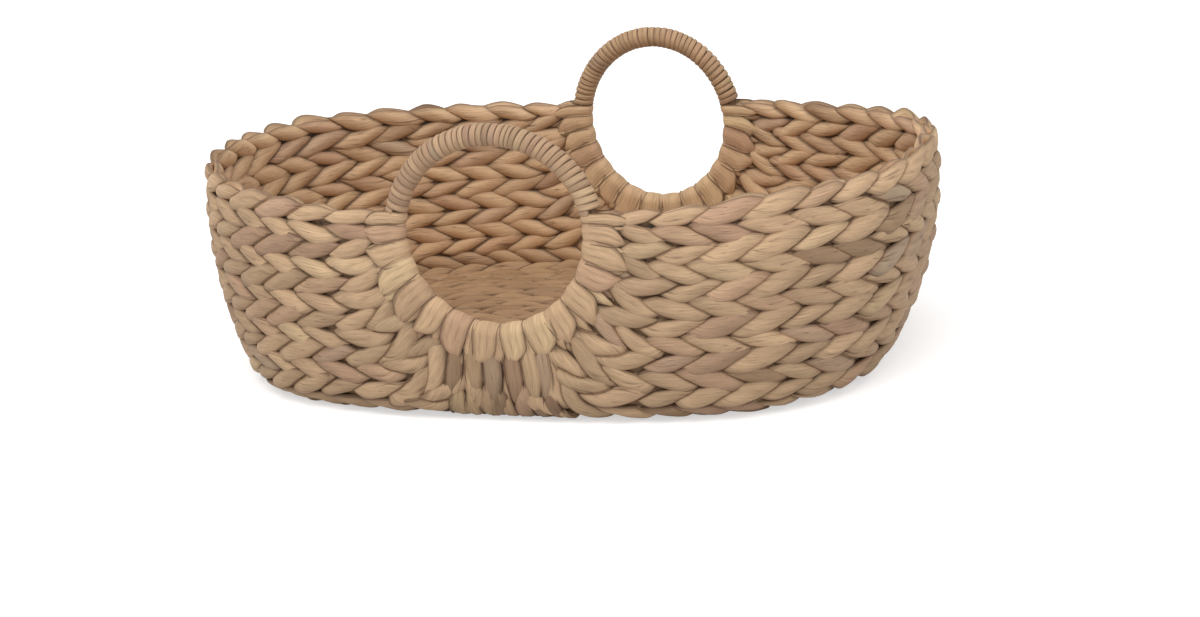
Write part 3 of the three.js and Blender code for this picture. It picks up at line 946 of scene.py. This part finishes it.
def make_leaf_tree(name, shape, inner_share, crowding):
    """Lines go in, and closed creased leaves come out."""
    tree = LeafTree(name)
    crease, flatness = tree.socket("Crease Depth"), tree.socket("Flatness")
    points = tree.socket("Section Points", "NodeSocketInt")
    leaf = tree.socket("Leaf", "NodeSocketMaterial")
    lines = tree.node("GeometryNodeMeshToCurve", {"Mesh": tree.lines})
    lines, places = shape(tree, lines)

    # The section: points round a leaf, carried along each line
    section = tree.node("GeometryNodeCurvePrimitiveCircle", {"Resolution": points, "Radius": 0.001})
    even = tree.node("GeometryNodeInputIndex") / points * (2 * math.pi)
    section = tree.store(section, around=even + tree.maths("COSINE", even) * crowding)
    skin = tree.node(
        "GeometryNodeCurveToMesh",
        {"Curve": lines, "Profile Curve": section, "Fill Caps": True},
    )
    angle, wide, thick, lane = (tree.read(key) for key in ("around", "wide", "thick", "lane"))
    cosine, sine = tree.maths("COSINE", angle), tree.maths("SINE", angle)
    over = cosine * wide
    outer = tree.maths("MAXIMUM", sine, 0.0)
    under = tree.maths("MAXIMUM", -sine, 0.0) ** 0.8
    rise = outer ** flatness * thick + under * thick * -inner_share

    # Creases along the leaf, which fade out at its edges and on its inner side
    walked = tree.read("walked") + over * tree.read("lean")
    fibre = walked, cosine * FIBRE_REACH, lane
    rough = tree.noise(tree.vector(*(part * often for part, often in zip(fibre, CREASES))), 1.0)
    groove = tree.maths("MAXIMUM", 1.0 - abs(rough) / CREASE_WIDTH, 0.0)
    creased = (rough * 0.5 + groove * -0.8) * crease
    brink = abs(cosine) ** 6.0
    rise = rise + creased * outer ** 0.5 * (1.0 - brink)
    droop = tree.read("sag") * cosine * cosine * tree.maths("SIGN", sine) * -1.0
    rise = rise + droop + tree.read("out") + over * tree.read("tilt")

    centre, flat, radial = places(over)
    spot = tree.node(
        "ShaderNodeVectorMath",
        {0: centre + flat * over + radial * rise, 1: (-9.0, -9.0, FLOOR_GAP)},
        operation="MAXIMUM",
    )
    # groove and margin carry painted shade: in the creases, and at the edges and tucked ends of a
    # leaf
    skin = tree.store(
        skin, fibre=tree.vector(*fibre), groove=groove * outer,
        margin=tree.maths("MAXIMUM", brink, tree.read("end")),
    )
    skin = tree.node("GeometryNodeSetPosition", {"Geometry": skin, "Position": spot})
    skin = tree.node("GeometryNodeSetShadeSmooth", {0: skin, "Shade Smooth": True})
    skin = tree.node("GeometryNodeRealizeInstances", {"Geometry": skin})
    skin = tree.node("GeometryNodeSetMaterial", {"Geometry": skin, "Material": leaf})
    tree.give(tree.exit.inputs[0], skin)
    return tree.tree


# The mesh data that a finished piece keeps
KEPT = (
    "position", "sharp_face", "material_index",
    "fibre", "groove", "margin", "shade", "kind", "dark", "inner",
)


def grow(name, leaves, tree, inputs):
    """Runs a tree over the lines and keeps the result as plain mesh data."""
    guide = bpy.data.objects.new(name + "_lines", leaves.guide(name + "_lines"))
    bpy.context.scene.collection.objects.link(guide)
    modifier = guide.modifiers.new("Leaves", "NODES")
    modifier.node_group = tree
    for item in tree.interface.items_tree:
        if item.item_type == "SOCKET" and item.in_out == "INPUT" and item.name in inputs:
            modifier[item.identifier] = inputs[item.name]
    graph = bpy.context.evaluated_depsgraph_get()
    mesh = bpy.data.meshes.new_from_object(guide.evaluated_get(graph), depsgraph=graph)
    lines = guide.data
    bpy.data.objects.remove(guide)
    bpy.data.meshes.remove(lines)
    for attribute in [a.name for a in mesh.attributes]:
        if attribute not in KEPT and not attribute.startswith("."):
            mesh.attributes.remove(mesh.attributes[attribute])
    return outward_facing(mesh)


def outward_facing(mesh):
    """Turns the faces round where they point inwards."""
    corners = np.zeros(len(mesh.vertices) * 3)
    mesh.vertices.foreach_get("co", corners)
    corners = corners.reshape(-1, 3)
    mesh.calc_loop_triangles()
    index = np.zeros(len(mesh.loop_triangles) * 3, int)
    mesh.loop_triangles.foreach_get("vertices", index)
    a, b, c = (corners[index.reshape(-1, 3)[:, k]] for k in range(3))
    if np.sum(a * np.cross(b, c)) < 0:
        mesh.flip_normals()
    return mesh


def piece(name, meshes, node):
    """Makes one object of meshes, in place of a CAD node."""
    made = [bpy.data.objects.new(name, mesh) for mesh in meshes]
    for item in made:
        bpy.context.scene.collection.objects.link(item)
    if len(made) > 1:
        with bpy.context.temp_override(
            active_object=made[0], object=made[0], selected_objects=made,
            selected_editable_objects=made,
        ):
            bpy.ops.object.join()
    made[0].data.name = name
    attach(made[0], "root")
    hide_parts(node)


class Finish(NodeMaker):
    """Builds a material's nodes."""

    def __init__(self, name):
        self.material = bpy.data.materials.new(name)
        self.material.use_nodes = True
        super().__init__(self.material.node_tree)
        self.shader = self.tree.nodes["Principled BSDF"]

    def attribute(self, name, out="Fac"):
        return self.node("ShaderNodeAttribute", attribute_name=name, out=out)

    def place(self):
        return self.node("ShaderNodeTexCoord", out="Object")

    def noise(self, vector, scale, detail=3.0, roughness=0.6):
        stretched = self.node("ShaderNodeMapping", {"Vector": vector, "Scale": scale})
        return self.node(
            "ShaderNodeTexNoise",
            {"Vector": stretched, "Scale": 1.0, "Detail": detail, "Roughness": roughness},
        )

    def between(self, value, low, high, most=1.0):
        """0 at low, most at high, even between."""
        return self.node("ShaderNodeMapRange", {
            "Value": value, "From Min": low, "From Max": high, "To Min": 0.0, "To Max": most,
        })

    def ramp(self, value, *stops):
        node = self.tree.nodes.new("ShaderNodeValToRGB")
        self.give(node.inputs[0], value)
        ramp = node.color_ramp
        while len(ramp.elements) < len(stops):
            ramp.elements.new(0.5)
        for element, (at, tone) in zip(ramp.elements, stops):
            element.position = at
            element.color = tone
        return Value(self, node.outputs[0])

    def blend(self, part, first, second, mode="MIX"):
        node = self.tree.nodes.new("ShaderNodeMix")
        node.data_type = "RGBA"
        node.blend_type = mode
        for key, value in (("Factor", part), ("A", first), ("B", second)):
            self.give([s for s in node.inputs if s.name == key and s.enabled][0], value)
        return Value(self, [s for s in node.outputs if s.enabled][0])

    def feed(self, name, value):
        self.give(self.shader.inputs[name], value)

    def bump(self, height, strength, distance):
        feed = {"Height": height, "Strength": strength, "Distance": distance}
        self.feed("Normal", self.node("ShaderNodeBump", feed))


def grey(value):
    return (value, value, value, 1.0)


# How often a pattern repeats in a metre along a leaf and across it, and from leaf to leaf
BLOTCHES = (24.0, 160.0, 1.0)
SPOTS = (70.0, 240.0, 1.0)
COARSE_FIBRES = (55.0, 1100.0, 1.0)
FINE_FIBRES = (120.0, 3600.0, 1.0)
CREASE_PATHS = (13.0, 330.0, 1.0)
CREASE_BREAKS = (40.0, 130.0, 1.0)

# The heights between which the painted shade on the wall grows darker and warmer, and between which
# the base begins
LOW_WALL = (0.15, 0.03)
BASE_TOP = (0.036, 0.02)


def leaf_finish(name, colours, pale, tint=None, tinted=0.0, spots=0.0, lines=1.0):
    """A dried leaf: fine fibres along it, creases, a colour that changes leaf by leaf, and painted
    light and shade.
    """
    finish = Finish(name)
    fibre = finish.attribute("fibre", "Vector")
    tones = finish.ramp(
        finish.attribute("kind"), (0.0, colours.straw), (0.3, colours.tan), (0.62, colours.tan),
        (0.80, colours.pink), (1.0, colours.sage),
    )
    if tint is not None:
        tones = finish.blend(tinted, tones, tint)
    blotch = finish.noise(fibre, BLOTCHES, 2.0)
    tones = finish.blend(blotch * 0.5, tones, colours.pink)
    tones = finish.blend(finish.attribute("dark"), tones, colours.dark)
    if spots:
        spotted = finish.between(finish.noise(fibre, SPOTS, 3.0, 0.7), 0.56, 0.68, spots)
        tones = finish.blend(spotted, tones, colours.dark)
    coarse = finish.noise(fibre, COARSE_FIBRES, 3.0, 0.65)
    fine = finish.noise(fibre, FINE_FIBRES, 2.0, 0.6)
    for grain, stops in (
        (coarse, ((0.28, 0.74), (0.5, 0.98), (0.75, 1.14))),
        (fine, ((0.3, 0.86), (0.62, 1.05))),
    ):
        streaks = finish.ramp(grain, *((at, grey(level)) for at, level in stops))
        tones = finish.blend(1.0, tones, streaks, "MULTIPLY")

    # The level of each leaf, with painted light and shade: painted shade low on the outside,
    # painted light inside up the wall, and the darkest painted shade inside on the base
    height = finish.node("ShaderNodeSeparateXYZ", {0: finish.place()}, out=2)
    low, flat = finish.between(height, *LOW_WALL), finish.between(height, *BASE_TOP)
    inner = finish.between(finish.attribute("inner"), -0.2, 0.6)
    level = finish.attribute("shade") * 0.095 + pale
    level = level + inner * (flat * -0.74 + (low * -0.05 + 0.20))
    level = low * (1.0 - inner) * -0.12 + level
    level = finish.node("ShaderNodeCombineColor", {0: level, 1: level, 2: level})
    tones = finish.blend(1.0, tones, level, "MULTIPLY")
    # Painted shade inside: warmer, the more so low down
    tones = finish.blend(inner * (low * 0.30 + 0.08), tones, colours.rust)

    # Painted shade: thin dark lines where the leaf is creased along its length, darkening in the
    # grooves of the creases, and at the edges and tucked ends of a leaf
    off = abs(finish.noise(fibre, CREASE_PATHS, 1.0, 0.4) - 0.5)
    broken = finish.between(finish.noise(fibre, CREASE_BREAKS, 1.0), 0.38, 0.60)
    line = (1.0 - finish.between(off, 0.0, 0.020)) * broken * lines
    for part, tone in (
        (line * 0.62, colours.crease),
        (finish.attribute("groove") * 0.30, colours.dark),
        (finish.attribute("margin") * 0.78, colours.crease),
    ):
        tones = finish.blend(part, tones, tone)
    finish.feed("Base Color", tones)
    finish.feed("Roughness", coarse * 0.22 + 0.58)
    finish.feed("Specular IOR Level", 0.28)
    finish.bump(fine * 0.35 + coarse - line, 0.5, 0.0005)
    return finish.material


def hoop_finish(colours):
    """The padded hoop under the leaves: wrapped fibre, in the shade of them."""
    finish = Finish("hoop_padding")
    strand = finish.noise(finish.place(), (900.0, 900.0, 260.0), 4.0, 0.7)
    finish.feed("Base Color", finish.ramp(strand, (0.3, colours.dark), (0.7, colours.core)))
    finish.feed("Roughness", 0.85)
    finish.bump(strand, 0.5, 0.0006)
    return finish.material


def wire_finish(colours):
    """Drawn wire, dull, with a little rust."""
    finish = Finish("dull_wire")
    rust = finish.noise(finish.place(), (180.0, 180.0, 180.0), 5.0, 0.65)
    finish.feed("Base Color", finish.ramp(rust, (0.45, colours.iron), (0.7, colours.core)))
    finish.feed("Metallic", 0.6)
    finish.feed("Roughness", rust * 0.4 + 0.3)
    finish.bump(rust, 0.3, 0.0002)
    return finish.material


# How each kind of laid leaf is made: points round it, depth of its creases, how flat its face is
FOLDED = (26, 0.0003, 0.45)
AT_FOOT = (26, 0.0005, 0.45)
WOUND = (16, 0.0003, 0.5)
CORE = (8, 0.0, 1.0)
TWINED_FLATNESS = 0.5


class Workshop:
    """What the operators share: sizes, trees and materials, made once."""

    def __init__(self, scene):
        self.weave = scene.basket_weave
        self.form = scene.basket_form
        self.wall = Wall(self.form)
        colours = scene.basket_colours
        self.twine = make_leaf_tree("Twined Leaves", twist, 1.0, 0.0)
        self.lay = make_leaf_tree("Laid Leaves", lay_flat, 0.9, 0.45)
        self.leaf = leaf_finish("hyacinth_leaf", colours, 1.08)
        self.fold = leaf_finish("folded_leaf", colours, 1.06, lines=0.8)
        self.windings = {
            "front": leaf_finish("front_winding", colours, 0.96, colours.pink, 0.35, 0.25, 0.5),
            # The back winding gets painted shade: darker, and tinted with the inside's shade colour
            "back": leaf_finish("back_winding", colours, 0.92, colours.rust, 0.30, 0.6, 0.5),
        }
        self.padding = hoop_finish(colours)
        self.wire = wire_finish(colours)

    def laid(self, name, leaves, material, points, crease, flatness, tree=None, **sizes):
        """Leaves along lines, laid flat unless another tree is given with its sizes."""
        return grow(name, leaves, tree or self.lay, {
            "Leaf": material, "Section Points": points, "Crease Depth": crease,
            "Flatness": flatness, "Seed": float(self.weave.seed), **sizes,
        })

    def twined(self, name, leaves, points):
        """Leaves that twine about each other along lines."""
        sizes = {label(size): getattr(self.weave, size) for size in TWINING}
        made = points, self.weave.crease, TWINED_FLATNESS
        return self.laid(name, leaves, self.leaf, *made, tree=self.twine, **sizes)

    def core(self, name, cores):
        """The dark strips of painted shade in the middle of the wall or the base."""
        return self.laid(name + "_core", cores, self.leaf, *CORE)


shop = {}


class BASKET_OT_twine_courses(Operator):
    """Twine the seven courses of each half, and fold their leaves round the hoops"""

    bl_idname = "basket.twine_courses"
    bl_label = "Twine Courses"

    def execute(self, context):
        tools = shop["tools"]
        wall, weave = tools.wall, tools.weave
        for half_name, half in HALVES.items():
            for number in range(1, COURSES + 1):
                seed = weave.seed * 1000 + number * 10 + (half > 0)
                leaves, folds, cores = Leaves(seed), Leaves(seed + 5), Leaves(seed + 6)
                for row, hand in ((2 * number - 1.5, half), (2 * number - 0.5, -half)):
                    twined_row(leaves, wall, weave, row / ROWS, half, hand)
                for row in (2 * number - 1, 2 * number):
                    core_shade_strips(cores, wall, weave, row / ROWS, half)
                for handle in wall.handles.values():
                    for fold in range(weave.folds):
                        if int(self.row_of(tools, fold + 0.5) * COURSES) + 1 == number:
                            self.fold_pair(folds, tools, handle, half, fold)
                node = f"{half_name}_course_{number}"
                meshes = [
                    tools.twined(node, leaves, weave.section_points),
                    tools.laid(node + "_folds", folds, tools.fold, *FOLDED),
                    tools.core(node, cores),
                ]
                piece(node + "_twined", meshes, node)
        return {"FINISHED"}

    def row_of(self, tools, fold):
        """The row at a place round the lower part of a hoop; whole numbers lie between folds."""
        weave, form = tools.weave, tools.form
        return (min(fold, weave.folds) / weave.folds) ** (weave.fold_spread / form.crowding)

    def fold_pair(self, folds, tools, handle, half, fold):
        """A broad leaf, and a narrow one that shows between it and the next."""
        wall, weave = tools.wall, tools.weave
        chance = folds.random
        starts, ends = (wall.start_angle(self.row_of(tools, fold + k)) for k in (0, 1))
        low = self.row_of(tools, fold + 0.5)
        reach = lerp(weave.side_reach, weave.low_fold, low ** 2)
        slot = (starts - ends) * (wall.hoop_half + 0.8 * reach) / 2
        drift = chance.uniform(-FOLD_DRIFT, FOLD_DRIFT)
        folded_leaf(
            folds, wall, handle, half, self.row_of(tools, fold + 0.5 + drift),
            slot * lerp(1.02, 0.79, low) * chance.uniform(0.86, 1.12),
            reach * chance.uniform(0.82, 1.20), chance.uniform(0.0, 0.0006),
            chance.choice((-1, 1)) * chance.uniform(0.6, 1.0),
        )
        drift = chance.uniform(-FOLD_DRIFT, FOLD_DRIFT)
        folded_leaf(
            folds, wall, handle, half, self.row_of(tools, fold + 1 + drift),
            slot * chance.uniform(0.36, 0.50), reach * chance.uniform(0.95, 1.15), -0.0007,
            chance.uniform(-0.8, 0.8),
        )


class BASKET_OT_wind_handles(Operator):
    """Wind the upper part of both hoops with a narrow leaf"""

    bl_idname = "basket.wind_handles"
    bl_label = "Wind Handles"

    def execute(self, context):
        tools = shop["tools"]
        for name, handle in tools.wall.handles.items():
            leaves = Leaves(tools.weave.seed * 100 + (handle.side > 0))
            wound_leaf(leaves, tools.wall, handle, tools.weave.winding_loops)
            node = f"{name}_handle_winding"
            mesh = tools.laid(node, leaves, tools.windings[name], *WOUND)
            piece(node + "_leaf", [mesh], node)
        return {"FINISHED"}


class BASKET_OT_twine_base(Operator):
    """Twine the ovals of the base, and its straight start"""

    bl_idname = "basket.twine_base"
    bl_label = "Twine Base"

    def execute(self, context):
        tools = shop["tools"]
        form, wall, weave = tools.form, tools.wall, tools.weave
        inner_half = wall.on_profile(
            wall.across, np.ones(1), np.ones(1), form.woven_depth - wall.foot_end
        )[0][0]
        course = (inner_half - form.base_start / 2) / BASE_COURSES
        for number in range(1, BASE_COURSES + 1):
            leaves, cores = Leaves(weave.seed * 10 + number), Leaves(weave.seed * 10 + number + 20)
            for place, hand in ((0.25, 1), (0.75, -1)):
                down = form.woven_depth + course * (number - 1 + place)
                twined_ring(leaves, wall, weave, down, hand)
            for place in (0.5, 1.0):
                down = form.woven_depth + course * (number - 1 + place)
                core_shade_ring(cores, wall, weave, down, course / 2)
            node = f"base_course_{number}"
            meshes = [tools.twined(node, leaves, weave.base_points), tools.core(node, cores)]
            if number == 1:
                feet = Leaves(weave.seed * 10)
                for handle in wall.handles.values():
                    foot_leaves(feet, wall, weave, handle)
                meshes.append(tools.laid(node + "_feet", feet, tools.leaf, *AT_FOOT))
            piece(node + "_twined", meshes, node)
        leaves = Leaves(weave.seed * 10 + 9)
        edge = form.woven_depth + course * BASE_COURSES
        for place, hand in ((0.25, 1), (0.75, -1)):
            twined_ring(leaves, wall, weave, edge + form.base_start / 2 * place, hand)
        mesh = tools.twined("base_start", leaves, weave.base_points)
        piece("base_start_twined", [mesh], "base_start")
        return {"FINISHED"}


class BASKET_OT_finish_hoops(Operator):
    """Give the hoops and the wire their materials"""

    bl_idname = "basket.finish_hoops"
    bl_label = "Finish Hoops and Wire"

    def execute(self, context):
        tools = shop["tools"]
        for node, material in (
            ("front_handle_hoop", tools.padding),
            ("back_handle_hoop", tools.padding),
            ("wire_frame", tools.wire),
        ):
            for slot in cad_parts[node].material_slots:
                slot.material = material
        return {"FINISHED"}


# Each lamp: its place, how wide it is, and its power
LAMPS = {
    "key": ((-0.5, -1.6, 2.2), 1.8, 8.8),
    "fill": ((1.9, -1.4, 1.5), 1.8, 5.6),
    "top": ((0.0, -1.1, 2.3), 2.2, 26.5),
}
LAMP_AIM = Vector((0, 0, 0.08))
FLOOR_REACH = 6.0
FLOOR_TONE = 0.72
FLOOR_GLOW = 0.56
WORLD_LEVEL = 0.61

# The photograph: its frame, the middle of its lens and its focal length in its own pixels,
# where it was taken from, in degrees, and what it looks at
FRAME_WIDTH, FRAME_HEIGHT = 1200, 617
LENS_X, LENS_Y = 572.6, 224.9
FOCAL_LENGTH = 2478.4
FILM_WIDTH = 36.0
TURNED, RAISED, ROLLED = 19.13, 14.44, 4.39
CAMERA_AIM = Vector((0.00165, 0.0, 0.1018))
CAMERA_AWAY = 2.0016


def in_view(maker):
    """1 where the surface is seen, straight or by way of gloss or glass; 0 where it lights."""
    path = maker.tree.nodes.new("ShaderNodeLightPath")
    camera, glossy, through = (
        Value(maker, path.outputs[name])
        for name in ("Is Camera Ray", "Is Glossy Ray", "Is Transmission Ray")
    )
    return maker.maths("MAXIMUM", maker.maths("MAXIMUM", camera, glossy), through)


class BASKET_OT_set_stage(Operator):
    """Add the floor, the lamps, the world and the camera"""

    bl_idname = "basket.set_stage"
    bl_label = "Set Stage"

    def execute(self, context):
        self.floor(context)
        self.world(context)
        for name, (place, size, power) in LAMPS.items():
            self.lamp(context, name, place, size, power)
        self.camera(context)
        context.scene.view_settings.view_transform = "Standard"
        return {"FINISHED"}

    def floor(self, context):
        mesh = bpy.data.meshes.new("floor")
        corners = [
            (x * FLOOR_REACH, y * FLOOR_REACH, 0) for x, y in ((-1, -1), (1, -1), (1, 1), (-1, 1))
        ]
        mesh.from_pydata(corners, [], [(0, 1, 2, 3)])
        floor = bpy.data.objects.new("floor", mesh)
        context.scene.collection.objects.link(floor)
        finish = Finish("floor_paper")
        finish.feed("Base Color", grey(FLOOR_TONE))
        finish.feed("Roughness", 0.9)
        finish.feed("Emission Color", grey(1.0))
        finish.feed("Emission Strength", in_view(finish) * FLOOR_GLOW)
        mesh.materials.append(finish.material)

    def world(self, context):
        """White where it is seen, and soft light on the basket."""
        world = bpy.data.worlds.new("studio")
        context.scene.world = world
        world.use_nodes = True
        maker = NodeMaker(world.node_tree)
        background = world.node_tree.nodes["Background"]
        background.inputs["Color"].default_value = grey(1.0)
        strength = maker.node("ShaderNodeMapRange", {
            "Value": in_view(maker), "To Min": WORLD_LEVEL, "To Max": 1.0,
        })
        maker.give(background.inputs["Strength"], strength)

    def lamp(self, context, name, place, size, power):
        data = bpy.data.lights.new(name, "AREA")
        data.shape = "DISK"
        data.size = size
        data.energy = power
        lamp = bpy.data.objects.new(name, data)
        lamp.location = place
        lamp.rotation_euler = (LAMP_AIM - lamp.location).to_track_quat("-Z", "Y").to_euler()
        context.scene.collection.objects.link(lamp)

    def camera(self, context):
        """The place, tilt and framing of the photograph."""
        turned, raised, rolled = (math.radians(v) for v in (TURNED, RAISED, ROLLED))
        away = Vector((
            math.sin(turned) * math.cos(raised),
            -math.cos(turned) * math.cos(raised),
            math.sin(raised),
        ))
        right = (-away).cross(Vector((0, 0, 1))).normalized()
        up = right.cross(-away)
        right, up = (
            right * math.cos(rolled) - up * math.sin(rolled),
            right * math.sin(rolled) + up * math.cos(rolled),
        )
        spot = CAMERA_AIM + away * CAMERA_AWAY
        data = bpy.data.cameras.new("camera")
        data.sensor_width = FILM_WIDTH
        data.lens = FOCAL_LENGTH / FRAME_WIDTH * FILM_WIDTH
        data.shift_x = (FRAME_WIDTH / 2 - LENS_X) / FRAME_WIDTH
        data.shift_y = (LENS_Y - FRAME_HEIGHT / 2) / FRAME_WIDTH
        data.clip_end = 50.0
        camera = bpy.data.objects.new("camera", data)
        camera.matrix_world = Matrix((
            *((right[k], up[k], away[k], spot[k]) for k in range(3)), (0, 0, 0, 1),
        ))
        context.scene.collection.objects.link(camera)
        context.scene.camera = camera


STEPS = (
    BASKET_OT_twine_courses,
    BASKET_OT_wind_handles,
    BASKET_OT_twine_base,
    BASKET_OT_finish_hoops,
    BASKET_OT_set_stage,
)


class BASKET_PT_panel(Panel):
    """The sizes, the colours and the steps of the basket"""

    bl_idname = "BASKET_PT_panel"
    bl_label = "Hyacinth Basket"
    bl_space_type = "VIEW_3D"
    bl_region_type = "UI"
    bl_category = "Basket"

    def draw(self, context):
        for group in ("basket_form", "basket_weave", "basket_colours"):
            values = getattr(context.scene, group)
            box = self.layout.box()
            for name in values.__annotations__:
                box.prop(values, name)
        for step in STEPS:
            self.layout.operator(step.bl_idname)


CLASSES = (BasketForm, WeaveSizes, LeafColours, *STEPS, BASKET_PT_panel)


def register():
    for kind in CLASSES:
        bpy.utils.register_class(kind)
    bpy.types.Scene.basket_form = PointerProperty(type=BasketForm)
    bpy.types.Scene.basket_weave = PointerProperty(type=WeaveSizes)
    bpy.types.Scene.basket_colours = PointerProperty(type=LeafColours)


def unregister():
    del bpy.types.Scene.basket_form
    del bpy.types.Scene.basket_weave
    del bpy.types.Scene.basket_colours
    for kind in reversed(CLASSES):
        bpy.utils.unregister_class(kind)


def main():
    register()
    shop["tools"] = Workshop(bpy.context.scene)
    bpy.ops.basket.twine_courses()
    bpy.ops.basket.wind_handles()
    bpy.ops.basket.twine_base()
    bpy.ops.basket.finish_hoops()
    bpy.ops.basket.set_stage()


if __name__ == "__main__":
    main()
